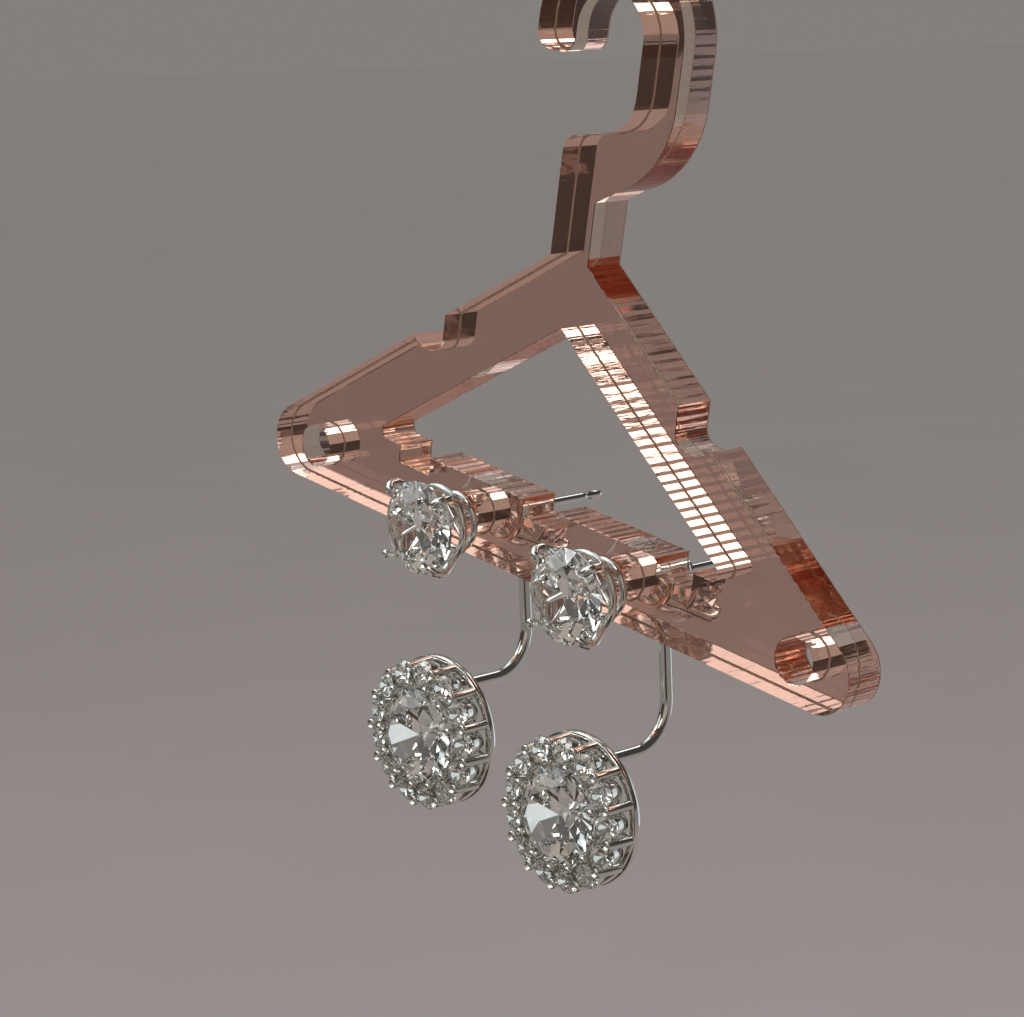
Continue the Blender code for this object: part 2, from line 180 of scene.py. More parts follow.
# The clutch's outline in parts of its radius and its length, and its bore in parts of the post's
# radius, with the dish round the bore where the tip comes out
CLUTCH_PROFILE = table(
    "across along",
    (0.45, 0.0),
    (0.52, 0.05),
    (0.50, 0.28),
    (0.55, 0.42),
    (0.92, 0.52),
    (1.0, 0.62),
    (1.0, 0.85),
    (0.93, 0.97),
    (0.8, 1.0),
)
CLUTCH_BORE = 1.2
CLUTCH_DISH = 1.6
CLUTCH_LIP = 0.94

# The jacket's wire: where its straight run has a middle point, and how its end thins into the cage
WIRE_MIDDLE = 0.6
WIRE_END = 0.95
WIRE_BEND_STEPS = 24

# Wires in each gap between two halo stones, in millimetres: r across the face, d forward of its middle
CAGE_BACK_D = -1.5
OUTER_CLAW = {
    "wire": 0.33,
    "tip": CUPPED_TIP,
    "route": table(
        "r d width",
        (4.87, CAGE_BACK_D, 1.0),
        (4.85, -0.6, 1.0),
        (4.81, 0.2, 1.0),
        (4.75, 0.76, 1.06),
    ),
}
INNER_CLAW = {
    "wire": 0.15,
    "tip": ROUND_TIP,
    "route": table(
        "r d width",
        (2.75, CAGE_BACK_D, 1.0),
        (3.2, -0.6, 1.0),
        (3.56, 0.3, 1.0),
        (3.56, 1.0, 1.0),
    ),
}
SPOKE = {
    "wire": 0.17,
    "tip": ROUND_TIP,
    "route": table("r d width", (2.75, CAGE_BACK_D, 1.0), (4.95, CAGE_BACK_D, 1.0)),
}

# The cage's rings, in millimetres: r to the middle of a wire, d forward of the cluster's middle
BACK_RING = {"inner": 4.68, "outer": 5.2, "back": -1.75, "front": -1.16, "edge": 0.09}
BASE_RING = {"r": 2.75, "d": CAGE_BACK_D, "wire": 0.25}
BEARING_RING = {"r": 3.0, "d": -0.05, "wire": 0.16}
BEAD_PLACE = {"r": 3.58, "d": 1.02}

# The wall of a halo stone's cup, in millimetres: r past the stone's girdle, d above it
CUP_WALL = table(
    "r d",
    (-0.16, -1.30),
    (-0.08, -1.33),
    (-0.04, -1.29),
    (0.00, -0.60),
    (0.015, -0.16),
    (0.018, 0.00),
    (0.006, 0.05),
    (0.003, -0.02),
    (-0.12, -0.16),
    (-0.16, -0.60),
)

# From a cluster's middle plane to a halo stone's girdle and to the foremost point of its metal, in
# millimetres
HALO_GIRDLE_D = 0.55
CLUSTER_FRONT = 1.37

# Steps round each kind of ring, and the angle past which an edge of turned or drawn metal is sharp
CAGE_RING_STEPS = 78
RING_STEPS = 48
CLUTCH_STEPS = 40
CUP_STEPS = 32
WIRE_SHARP = math.radians(50)
CLUTCH_SHARP = math.radians(40)

# The full cut, in parts of a girdle's radius, and how much steeper the half facets are than the mains
MAINS = 8
GIRDLE_HALF = 0.03
MAIN_REACH = 0.99
CROWN_HALF_STEEPER = math.radians(5)
PAVILION_HALF_STEEPER = math.radians(2)
STAR_SLOPE = math.radians(20)
STAR_INSET = 0.01
GRIND_TOLERANCE = 1e-5

# Where the photo's camera stood, found from the hanger's corners and the sheet's thickness
CAMERA_PLACE = Vector((129.08, -131.43, -2.57)) * MM
CAMERA_AZIMUTH = math.radians(47.08)
CAMERA_ELEVATION = math.radians(9.36)
CAMERA_ROLL = math.radians(-2.23)
CAMERA_LENS = 101.16
CAMERA_SENSOR = 36.0
CAMERA_CLIP = (0.005, 60.0)

# Soft lights, each seen in one part of the hanger's edges and the wires, and the point that they and
# the cards face. Lengths in metres.
LIT_POINT = Vector((0, 0, -0.035))
SOFTBOXES = table(
    "name towards distance width height brightness colour",
    ("left_softbox", (-0.50, -0.28, 0.80), 1.3, 0.65, 0.37, 3.0, "#F4FBF8"),
    ("front_softbox", (0.20, -0.66, 0.72), 1.3, 0.44, 0.50, 3.6, "#FFF8F0"),
    ("back_softbox", (-0.20, 0.66, 0.72), 1.3, 0.56, 0.30, 1.8, "#F0F6F4"),
    ("low_softbox", (-0.59, -0.68, 0.45), 1.3, 0.42, 0.26, 1.0, "#FFF3EA"),
    ("far_panel", (0.18, 0.96, -0.05), 1.0, 0.50, 0.60, 0.75, "#E4F2F6"),
)

# Dark cards outside every view, which darken what the polished edges and the metal show. In metres.
FLAGS = table(
    "name towards distance size",
    ("side_card", (0.60, -0.66, -0.43), 0.62, 0.36),
    ("low_card", (0.08, -0.05, -1.00), 0.28, 0.34),
)
FLOOR_RADIUS = 40.0

# Broad soft parts of the surroundings: each is full inside the first angle and gone outside the second
SURROUND = "#3E3B39"
PANELS = table(
    "towards full gone strength colour",
    ((-0.45, -0.20, 0.87), 14, 42, 1.30, "#EAF5FA"),
    ((0.72, -0.67, 0.25), 18, 40, 0.38, "#F3E4D4"),
    ((-0.72, 0.67, 0.00), 34, 60, 0.175, "#F4EEE8"),
)


def srgb(code, alpha=1.0):
    """A linear colour from an sRGB hex code."""
    values = [int(code[i : i + 2], 16) / 255 for i in (1, 3, 5)]
    linear = [v / 12.92 if v <= 0.04045 else ((v + 0.055) / 1.055) ** 2.4 for v in values]
    return (*linear, alpha)


def length(name, millimetres, description):
    """A length that a user may change."""
    return FloatProperty(name=name, description=description, default=millimetres * MM, unit="LENGTH")


def angle(name, degrees, description):
    """An angle that a user may change."""
    default = math.radians(degrees)
    return FloatProperty(name=name, description=description, default=default, subtype="ANGLE")


def tint(name, code, description):
    """A colour that a user may change."""
    default = srgb(code)[:3]
    return FloatVectorProperty(name=name, description=description, default=default, subtype="COLOR")


def share(name, part, description):
    """A part or a strength that a user may change."""
    return FloatProperty(name=name, description=description, default=part, subtype="FACTOR")


def count(name, number, description):
    """A number of like pieces that a user may change."""
    return IntProperty(name=name, description=description, default=number, subtype="UNSIGNED")


class HangerSettings(bpy.types.PropertyGroup):
    """Sizes and colours of the acrylic hanger."""

    rib_pitch: length("Rib Pitch", 0.70, "Spacing of the ribs that the laser leaves on a cut edge")
    rim_rib_depth: length("Rim Rib Depth", 0.007, "How deep an average rib is on the outer edge")
    hole_rib_depth: length("Hole Rib Depth", 0.045, "How deep an average rib is in the window and holes")
    chamfer: length("Chamfer", 0.035, "Width of the corner that the laser melts along each edge")
    film_gap: length("Film Gap", 0.10, "How far the laser's heat strips the mirror film from an edge")
    coat_thickness: length("Coat Thickness", 0.06, "Thickness of the coat behind the mirror film")
    acrylic_tint: tint("Acrylic Tint", "#F9C477", "Colour that light keeps on a long way inside")
    acrylic_depth: FloatProperty(
        name="Tint Density",
        description="How fast the acrylic takes its tint, for each metre of light's way",
        default=100.0,
        subtype="UNSIGNED",
    )
    film_colour: tint("Mirror Film", "#EFE1EA", "Colour of the evaporated mirror film on the back")
    coat_colour: tint("Back Coat", "#DEC8BE", "Colour of the coat behind the mirror film")


class StudSettings(bpy.types.PropertyGroup):
    """Sizes of the claw-set studs and their clutches."""

    claws: count("Claws", 4, "Number of claws on each stud")
    claw_radius: length("Claw Radius", 0.32, "Half the thickness of a claw's wire")
    claw_turn: angle("Claw Turn", 53.3, "Where the first claw stands, clockwise from straight up")
    gallery_radius: length("Gallery Radius", 2.62, "Radius of the ring half way up the claws")
    base_radius: length("Base Radius", 1.9, "Radius of the ring at the foot of the claws")
    ring_wire: length("Ring Wire", 0.25, "Half the thickness of both rings' wire")
    post_radius: length("Post Radius", 0.3, "Half the thickness of the ear post")


class JacketSettings(bpy.types.PropertyGroup):
    """Sizes of the jackets that hang from the posts."""

    wire_radius: length("Wire Radius", 0.44, "Half the thickness of the jacket's bent wire")
    loop_radius: length("Loop Radius", 1.0, "Radius of the loop on the post, to the wire's middle")
    bend_radius: length("Bend Radius", 3.2, "Radius of the bend under the bar")
    reach_down: length("Reach Down", 11.5, "From the loop's middle down to the wire's lower run")
    halo_stones: count("Halo Stones", 13, "Stones in each halo")
    halo_turn: angle("Halo Turn", 8, "Where the first halo stone sits, clockwise from straight up")
    halo_radius: length("Halo Radius", 4.4, "From the cluster's middle to the middle of a halo stone")
    halo_tilt: angle("Halo Tilt", 15, "How far the halo stones lean outwards")
    bead_radius: length("Bead Radius", 0.31, "Radius of the beads that hold the stones on the inside")


class StoneSettings(bpy.types.PropertyGroup):
    """Size and proportions of the halo's round cut stones."""

    halo_stone_radius: length("Halo Stone Radius", 0.87, "Radius of a halo stone's girdle")
    table_reach: share("Table", 0.58, "Reach of the crown's mains at the table, in parts of the radius")
    crown_slope: angle("Crown Slope", 34, "Slope of the crown's main facets")
    pavilion_slope: angle("Pavilion Slope", 38, "Slope of the pavilion's main facets")


class StudioSettings(bpy.types.PropertyGroup):
    """The floor and the light."""

    floor_drop: length("Floor Drop", 400, "How far the floor lies under the hook's inside")
    floor_colour: tint("Floor", "#D8CAC5", "Colour of the plain floor")
    ambient: share("Ambient", 1.12, "Strength of the light from all sides")
    softbox: share("Softbox", 1.0, "Strength of the soft lights")


SETTINGS = {
    "ear_jackets_hanger": HangerSettings,
    "ear_jackets_studs": StudSettings,
    "ear_jackets_jackets": JacketSettings,
    "ear_jackets_stones": StoneSettings,
    "ear_jackets_studio": StudioSettings,
}


def add_node(tree, kind, props=None, values=None, links=None):
    """Adds a node to a tree with its settings, its sockets' values and its links."""
    node = tree.nodes.new(kind)
    for name, value in (props or {}).items():
        setattr(node, name, value)
    for name, value in (values or {}).items():
        node.inputs[name].default_value = value
    for name, socket in (links or {}).items():
        tree.links.new(socket, node.inputs[name])
    return node


def start_material(name, values):
    """A material whose plain sockets are set, with its node tree only where it is new."""
    made = bpy.data.materials.get(name)
    if made:
        return made, None
    made = bpy.data.materials.new(name)
    made.use_nodes = True
    for socket, value in values.items():
        made.node_tree.nodes["Principled BSDF"].inputs[socket].default_value = value
    return made, made.node_tree


def feed_shader(tree, sockets):
    """Links outputs to the shader's sockets."""
    for name, output in sockets.items():
        tree.links.new(output, tree.nodes["Principled BSDF"].inputs[name])


def mottled(tree, size, low=0.0, high=1.0, detail=3.0):
    """A noise in object space, its size in metres, spread between two values."""
    place = add_node(tree, "ShaderNodeTexCoord")
    noise = add_node(
        tree,
        "ShaderNodeTexNoise",
        values={"Scale": 1 / size, "Detail": detail, "Roughness": 0.55},
        links={"Vector": place.outputs["Object"]},
    )
    spread = add_node(
        tree,
        "ShaderNodeMapRange",
        values={"From Min": 0.3, "From Max": 0.7, "To Min": low, "To Max": high},
        links={"Value": noise.outputs["Fac"]},
    )
    return spread.outputs["Result"]


def blotched(tree, size, dark, pale):
    """A colour that drifts between two others in blotches of a size in metres."""
    colour = add_node(
        tree,
        "ShaderNodeMix",
        props={"data_type": "RGBA"},
        values={6: dark, 7: pale},
        links={0: mottled(tree, size)},
    )
    return colour.outputs[2]


def waved(tree, size, depth, detail=3.0):
    """A surface that rises and falls by a depth, in waves of a size in metres."""
    bump = add_node(
        tree,
        "ShaderNodeBump",
        values={"Strength": 1.0, "Distance": depth},
        links={"Height": mottled(tree, size, detail=detail)},
    )
    return bump.outputs["Normal"]


def cast_acrylic(settings):
    """Cast acrylic sheet tinted through, laser cut: clear as glass on its faces, with its tint deepest
    where light goes a long way along the sheet, and a faintly melted skin on the cut edges, with fine
    streaks across the sheet."""
    made, tree = start_material(
        "cast_acrylic_rose_tint",
        {"Base Color": (1, 1, 1, 1), "Transmission Weight": 1.0, "IOR": 1.491},
    )
    if tree is None:
        return made
    place = add_node(tree, "ShaderNodeTexCoord")
    facing = add_node(tree, "ShaderNodeSeparateXYZ", links={"Vector": place.outputs["Normal"]})
    upright = add_node(
        tree,
        "ShaderNodeMath",
        props={"operation": "ABSOLUTE"},
        links={0: facing.outputs["Y"]},
    )
    cut_edge = add_node(
        tree,
        "ShaderNodeMapRange",
        values={"From Min": 0.9, "From Max": 0.4, "To Min": 0.0, "To Max": 1.0},
        links={"Value": upright.outputs["Value"]},
    )
    skin = mottled(tree, 0.5 * MM, 0.01, 0.09)
    rough = add_node(
        tree,
        "ShaderNodeMath",
        props={"operation": "MULTIPLY_ADD"},
        values={2: 0.004},
        links={0: cut_edge.outputs["Result"], 1: skin},
    )
    drawn_out = add_node(
        tree,
        "ShaderNodeMapping",
        values={"Scale": (1.0, 0.06, 1.0)},
        links={"Vector": place.outputs["Object"]},
    )
    streak = add_node(
        tree,
        "ShaderNodeTexNoise",
        values={"Scale": 1 / (0.22 * MM), "Detail": 2.0},
        links={"Vector": drawn_out.outputs["Vector"]},
    )
    height = add_node(
        tree,
        "ShaderNodeMath",
        props={"operation": "MULTIPLY"},
        links={0: streak.outputs["Fac"], 1: cut_edge.outputs["Result"]},
    )
    bump = add_node(
        tree,
        "ShaderNodeBump",
        values={"Strength": 1.0, "Distance": 0.009 * MM},
        links={"Height": height.outputs["Value"]},
    )
    feed_shader(tree, {"Roughness": rough.outputs["Value"], "Normal": bump.outputs["Normal"]})
    taken = add_node(
        tree,
        "ShaderNodeVolumeAbsorption",
        values={"Color": (*settings.acrylic_tint, 1), "Density": settings.acrylic_depth},
    )
    tree.links.new(taken.outputs["Volume"], tree.nodes["Material Output"].inputs["Volume"])
    return made


def mirror_film(settings):
    """Evaporated mirror film, seen through the acrylic: a sharp mirror that waves a little with the
    sheet, with a very thin haze."""
    made, tree = start_material(
        "rose_gold_mirror_film",
        {"Base Color": (*settings.film_colour, 1), "Metallic": 1.0},
    )
    if tree is None:
        return made
    wave = waved(tree, 6 * MM, 0.010 * MM, detail=1.0)
    feed_shader(tree, {"Normal": wave, "Roughness": mottled(tree, 1.2 * MM, 0.012, 0.035)})
    return made


def back_coat(settings):
    """Sprayed protective lacquer: satin, with a fine orange peel and a slightly uneven colour."""
    made, tree = start_material("sprayed_back_lacquer", {})
    if tree is None:
        return made
    base = Vector(settings.coat_colour)
    colour = blotched(tree, 3 * MM, (*(base * 0.88), 1), (*base, 1))
    rough = mottled(tree, 0.8 * MM, 0.38, 0.52)
    peel = waved(tree, 0.35 * MM, 0.012 * MM)
    feed_shader(tree, {"Base Color": colour, "Roughness": rough, "Normal": peel})
    return made


def rhodium_plate():
    """Rhodium plated silver, cast, tumbled and polished: bright and slightly cool, with soft waves left
    by the polishing and a thin haze of handling marks. Painted shade darkens it to dull grey in the
    corners round the stones and between the wires, where ambient occlusion finds the surface hemmed in.
    The haze is drawn coarser than the real one."""
    made, tree = start_material("rhodium_plated_silver", {"Metallic": 1.0})
    if tree is None:
        return made
    # Painted shade: ambient occlusion marks the corners round the stones and between the wires, where
    # shade falls
    corner = add_node(
        tree,
        "ShaderNodeAmbientOcclusion",
        props={"samples": 8, "only_local": True},
        values={"Distance": 0.5 * MM},
    )
    reach = add_node(
        tree,
        "ShaderNodeMapRange",
        values={"From Min": 0.30, "From Max": 0.80},
        links={"Value": corner.outputs["AO"]},
    )
    tone = blotched(tree, 0.5 * MM, srgb("#C9CBC4"), srgb("#E4E6E0"))
    # The dark grey here is painted shade, mixed in where the occlusion is deepest
    polished = add_node(
        tree,
        "ShaderNodeMix",
        props={"data_type": "RGBA"},
        values={6: srgb("#4A4A46")},
        links={0: reach.outputs["Result"], 7: tone},
    )
    rough = mottled(tree, 0.3 * MM, 0.05, 0.16)
    wave = waved(tree, 0.4 * MM, 0.010 * MM)
    feed_shader(tree, {"Base Color": polished.outputs[2], "Roughness": rough, "Normal": wave})
    return made


def cubic_zirconia():
    """Cubic zirconia, cut and polished: colourless, with a higher index than quartz or glass, so that its
    facets throw light back, and a faint haze of polishing that differs a little from place to place."""
    made, tree = start_material(
        "cubic_zirconia_colourless",
        {"Base Color": srgb("#F8FAF6"), "Transmission Weight": 1.0, "IOR": 2.16},
    )
    if tree is None:
        return made
    feed_shader(tree, {"Roughness": mottled(tree, 1.0 * MM, 0.0, 0.012)})
    return made


def plain_floor(settings):
    """Matte painted board: pale and without shine, its colour drifting very faintly."""
    made, tree = start_material("matte_painted_board", {"Roughness": 1.0, "Specular IOR Level": 0.0})
    if tree is None:
        return made
    base = Vector(settings.floor_colour)
    feed_shader(tree, {"Base Color": blotched(tree, 0.15, (*(base * 0.97), 1), (*base, 1))})
    return made


def flocked_card():
    """Flocked card: dark brown and without shine, a little uneven where the fibres lie."""
    made, tree = start_material("brown_flocked_card", {"Roughness": 1.0, "Specular IOR Level": 0.0})
    if tree is None:
        return made
    feed_shader(tree, {"Base Color": blotched(tree, 4 * MM, srgb("#54463E"), srgb("#655348"))})
    return made


def as_object(name, shape, finishes):
    """Turns a shape into an object of the scene, at the origin, with its materials."""
    mesh = bpy.data.meshes.new(name)
    shape.to_mesh(mesh)
    shape.free()
    for finish in finishes:
        mesh.materials.append(finish)
    made = bpy.data.objects.new(name, mesh)
    bpy.context.scene.collection.objects.link(made)
    return made


def finish_piece(name, shape, body, node, finishes, sharp=None):
    """Turns a closed shape into a piece that rides on its body and stands for its node."""
    if not all(edge.is_manifold for edge in shape.edges):
        raise RuntimeError(f"{name} isn't closed")
    piece = as_object(name, shape, finishes)
    if sharp is not None:
        piece.data.shade_smooth()
        piece.data.set_sharp_from_angle(angle=sharp)
    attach(piece, body)
    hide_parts(node)


def hinge_point(side):
    """Middle of a jacket's loop, which is on the post's axis."""
    for joint in frame["joints"]:
        if joint["child"] == f"jacket_{side}":
            return Vector(joint["pos_m"])
    raise RuntimeError(f"the frame has no joint for the {side} jacket")


def facing_front(point):
    """A frame at a point whose Z runs to the front, with X to the right and Y up."""
    return Matrix.Translation(point) @ Matrix.Rotation(math.pi / 2, 4, "X")


def stud_frame(side):
    """On the post's axis, at the hanger's front face."""
    hinge = hinge_point(side)
    return facing_front(Vector((hinge.x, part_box("hanger_plate")[0].y, hinge.z)))


def cluster_frame(side):
    """In the middle of a jacket's round cluster, at its middle plane."""
    centre = sum(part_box(f"jacket_centre_stone_{side}"), Vector()) / 2
    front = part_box(f"jacket_frame_{side}")[0].y
    return facing_front(Vector((centre.x, front + CLUSTER_FRONT * MM, centre.z)))


def polar(radius, turn, forward):
    """A point at a radius, turned clockwise from straight up, and a distance forward."""
    return Vector((radius * math.sin(turn), radius * math.cos(turn), forward))


def route_knots(route, wire, turn=0.0):
    """Knots of a place and a radius from a route's table, turned clockwise from straight up."""
    return [
        Vector((*polar(row["r"] * MM, turn, row["d"] * MM), row["width"] * wire)) for row in route
    ]


def smooth_route(knots, steps):
    """Points of a smooth curve through knots of a place and a radius."""
    padded = [2 * knots[0] - knots[1], *knots, 2 * knots[-1] - knots[-2]]
    points = []
    for before, start, end, after in zip(padded, padded[1:], padded[2:], padded[3:]):
        for step in range(steps):
            t = step / steps
            bend = (2 * before - 5 * start + 4 * end - after) * t * t
            twist = (3 * start - before - 3 * end + after) * t * t * t
            points.append((2 * start + (end - before) * t + bend + twist) / 2)
    return [*points, knots[-1]]


def tipped(route, tip):
    """A route with a shaped tip added to its end."""
    last = route[-1]
    along = (last - route[-2]).xyz.normalized()
    places = [last.xyz + along * last.w * row["along"] for row in tip]
    return [*route, *(Vector((*place, last.w * row["across"])) for place, row in zip(places, tip))]


def draw_wire(shape, route, matrix, sides=14):
    """Draws a round wire along a route: circles bridged one to the next, with both ends closed."""
    side = None
    last = None
    along = Vector()
    for index, knot in enumerate(route):
        before = route[max(index - 1, 0)].xyz
        after = route[min(index + 1, len(route) - 1)].xyz
        if along.dot(after - before) >= 0:
            along = (after - before).normalized()
        if side is None:
            side = along.orthogonal().normalized()
        side = (side - along * side.dot(along)).normalized()
        turn = Matrix((side, along.cross(side), along)).transposed().to_4x4()
        circle = bmesh.ops.create_circle(
            shape,
            segments=sides,
            radius=knot.w,
            matrix=matrix @ Matrix.Translation(knot.xyz) @ turn,
        )
        edges = list({edge for vert in circle["verts"] for edge in vert.link_edges})
        if last:
            bmesh.ops.bridge_loops(shape, edges=[*last, *edges])
        else:
            bmesh.ops.contextual_create(shape, geom=edges)
        last = edges
    bmesh.ops.contextual_create(shape, geom=last)


def spin_section(shape, matrix, section, steps):
    """Spins a closed section, radii and heights about the matrix's Z axis, into a ring."""
    corners = [shape.verts.new(matrix @ Vector((r, 0, h))) for r, h in section]
    edges = [shape.edges.new((corners[i - 1], corners[i])) for i in range(len(corners))]
    bmesh.ops.spin(
        shape,
        geom=[*corners, *edges],
        cent=matrix.translation,
        axis=matrix.col[2].xyz,
        angle=FULL_TURN,
        steps=steps,
        use_merge=True,
    )


def round_section(radius, height, wire, sides=12):
    """The section of a round wire."""
    turns = [step * FULL_TURN / sides for step in range(sides)]
    return [(radius + wire * math.cos(a), height + wire * math.sin(a)) for a in turns]


def band_section(band):
    """The section of a flat band, in millimetres, with its corners taken off."""
    keys = ("inner", "outer", "back", "front", "edge")
    inner, outer, back, front, edge = (band[key] * MM for key in keys)
    return [
        (inner + edge, back),
        (outer - edge, back),
        (outer, back + edge),
        (outer, front - edge),
        (outer - edge, front),
        (inner + edge, front),
        (inner, front - edge),
        (inner, back + edge),
    ]


def tidy(shape):
    """Merges what coincides and turns all faces outwards."""
    bmesh.ops.remove_doubles(shape, verts=shape.verts, dist=MERGE)
    bmesh.ops.recalc_face_normals(shape, faces=shape.faces)


def arc(centre, radius, start, end):
    """Points of an arc in the hanger's plane, in millimetres, ends included."""
    steps = max(2, math.ceil(abs(end - start) / ARC_STEP))
    angles = [start + (end - start) * step / steps for step in range(steps + 1)]
    return [(centre[0] + radius * math.cos(a), centre[1] + radius * math.sin(a)) for a in angles]


def mirrored(points):
    """The same points on the other side of the hanger's middle."""
    return [(-u, w) for u, w in points]


def shoulder(u):
    """Height of the shoulder's upper edge at a distance from the hanger's middle."""
    return SHOULDER_APEX - math.tan(SHOULDER_SLOPE) * abs(u)


def right_shoulder():
    """Upper edge of the right arm, from the neck over the notch to the round end."""
    wall_foot = shoulder(NOTCH_INNER) - NOTCH_WALL
    run = (SHOULDER_APEX - END_RADIUS) * math.cos(SHOULDER_SLOPE) - END_RADIUS
    end_u = run / math.sin(SHOULDER_SLOPE)
    return [
        (NECK_WIDTH / 2, shoulder(NECK_WIDTH / 2)),
        (NOTCH_INNER, shoulder(NOTCH_INNER)),
        *arc((NOTCH_INNER + NOTCH_ROUND, wall_foot), NOTCH_ROUND, math.pi, 1.5 * math.pi),
        (NOTCH_CREST - NOTCH_ROUND, wall_foot - NOTCH_ROUND),
        (NOTCH_CREST, shoulder(NOTCH_CREST)),
        *arc((end_u, END_RADIUS), END_RADIUS, math.pi / 2 - SHOULDER_SLOPE, -math.pi / 2),
    ]


def hook_outline():
    """Neck and hook, from the right foot of the neck round the tip to the neck's left corner."""
    middle = (HOOK_U, HOOK_W)
    outer = HOOK_INNER_RADIUS + HOOK_WIDTH
    foot = (HOOK_U - HOOK_FOOT_WIDER, HOOK_FOOT_W)
    inner_foot = (HOOK_U + HOOK_INNER_RADIUS - HOOK_INNER_FOOT_RADIUS, HOOK_FOOT_W)
    corner = (-NECK_WIDTH / 2 + NECK_CORNER, NECK_TOP - NECK_CORNER)
    tip_w = HOOK_TIP_W + HOOK_TIP_ROUND
    tip_outer = (HOOK_U - outer + HOOK_TIP_ROUND, tip_w)
    tip_inner = (HOOK_U - HOOK_INNER_RADIUS - HOOK_TIP_ROUND, tip_w)
    return [
        (NECK_WIDTH / 2, HOOK_FOOT_JOIN),
        *arc(foot, outer + HOOK_FOOT_WIDER, -HOOK_FOOT_ANGLE, 0),
        *arc(middle, outer, 0, math.pi),
        *arc(tip_outer, HOOK_TIP_ROUND, math.pi, 1.5 * math.pi),
        *arc(tip_inner, HOOK_TIP_ROUND, -math.pi / 2, 0),
        *arc(middle, HOOK_INNER_RADIUS, math.pi, 0),
        *arc(inner_foot, HOOK_INNER_FOOT_RADIUS, 0, -math.pi / 2),
        *arc(corner, NECK_CORNER, math.pi / 2, math.pi),
    ]


def window_outline():
    """The triangular window, with the three slots that dip into the bar's upper edge."""
    apex = SHOULDER_APEX - ARM_WIDTH / math.cos(SHOULDER_SLOPE)
    corner_u = (apex - BAR_HEIGHT) / math.tan(SHOULDER_SLOPE)
    round_u = corner_u - WINDOW_CORNER / math.tan(SHOULDER_SLOPE / 2)
    round_centre = (round_u, BAR_HEIGHT + WINDOW_CORNER)
    corner = arc(round_centre, WINDOW_CORNER, math.pi / 2 - SHOULDER_SLOPE, -math.pi / 2)
    right = [(0, apex), *corner]
    floor = BAR_HEIGHT - SLOT_DEPTH
    for middle in (SLOT_SPACING, 0, -SLOT_SPACING):
        near = middle + SLOT_WIDTH / 2
        far = middle - SLOT_WIDTH / 2
        right += [(near, BAR_HEIGHT), (near, floor), (far, floor), (far, BAR_HEIGHT)]
    return right + mirrored(reversed(corner))


def hanger_outlines():
    """The hanger's outline first, then its window and its four round holes."""
    right = right_shoulder()
    outlines = [[*hook_outline(), *mirrored(right), *reversed(right)], window_outline()]
    for side in (-1, 1):
        for u, w in ((END_HOLE_U, END_HOLE_W), (POST_HOLE_U, POST_HOLE_W)):
            outlines.append(arc((side * u, w), HOLE_RADIUS, 0, FULL_TURN)[:-1])
    return outlines


def hanger_to_world():
    """Turns the hanger's plane into the world, with the origin at the top of the hook's inside."""
    seat_u = HOOK_U - HOOK_INNER_RADIUS * math.sin(HANG_ANGLE)
    seat_w = HOOK_W + HOOK_INNER_RADIUS * math.cos(HANG_ANGLE)
    turn = Matrix.Rotation(HANG_ANGLE, 4, "Y")
    return turn @ Matrix.Translation(Vector((-seat_u, 0, -seat_w)) * MM)


def corner_angle(before, here, after):
    """How far an outline turns at a point."""
    arriving = math.atan2(here[1] - before[1], here[0] - before[0])
    leaving = math.atan2(after[1] - here[1], after[0] - here[0])
    return abs((leaving - arriving + math.pi) % FULL_TURN - math.pi)


def stretches(outline):
    """Splits a closed outline at its sharp corners."""
    corners = len(outline)
    sharp = [
        i
        for i in range(corners)
        if corner_angle(outline[i - 1], outline[i], outline[(i + 1) % corners]) > SHARP_CORNER
    ]
    sharp = sharp or [0]
    for start, end in zip(sharp, [*sharp[1:], sharp[0] + corners]):
        yield np.array([outline[i % corners] for i in range(start, end + 1)])


def is_anticlockwise(outline):
    """Whether a closed outline runs anticlockwise, from the sign of the area that it bounds."""
    points = np.array(outline)
    after = np.roll(points, -1, axis=0)
    return np.sum(points[:, 0] * after[:, 1] - after[:, 0] * points[:, 1]) > 0


def ribbed(outline, is_hole, pitch, depth, chance):
    """An outline with the laser's ribs, each sloping into the acrylic and back, of uneven depth."""
    uneven = HOLE_UNEVEN if is_hole else RIM_UNEVEN
    way = 1 if is_anticlockwise(outline) != is_hole else -1
    points = []
    for stretch in stretches(outline):
        lengths = np.concatenate([[0], np.cumsum(np.hypot(*np.diff(stretch, axis=0).T))])
        total = lengths[-1]
        ribs = int(total / pitch)
        knots = [0.0]
        depths = [0.0]
        for rib in range(ribs):
            knots += [(rib + RIB_LEAN) * total / ribs, (rib + 1) * total / ribs]
            depths += [depth * (1 + uneven * (2 * chance.random() - 1)), 0.0]
        marks = np.unique(np.round(np.concatenate([lengths, knots]), MARK_DECIMALS))[:-1]
        marks[0] = 0
        ahead = np.minimum(marks + DIRECTION_REACH, total)
        behind = np.maximum(marks - DIRECTION_REACH, 0)
        tangent = [
            np.interp(ahead, lengths, stretch[:, axis]) - np.interp(behind, lengths, stretch[:, axis])
            for axis in (0, 1)
        ]
        size = np.hypot(*tangent)
        sunk = np.interp(marks, knots, depths) if ribs else np.zeros(len(marks))
        u = np.interp(marks, lengths, stretch[:, 0]) - way * sunk * tangent[1] / size
        w = np.interp(marks, lengths, stretch[:, 1]) + way * sunk * tangent[0] / size
        points += list(zip(u, w))
    return points


def faces_towards(shape, way):
    """The sheet's front faces for -1, its back faces for 1."""
    return [face for face in shape.faces if face.normal.y * way > 0.9]


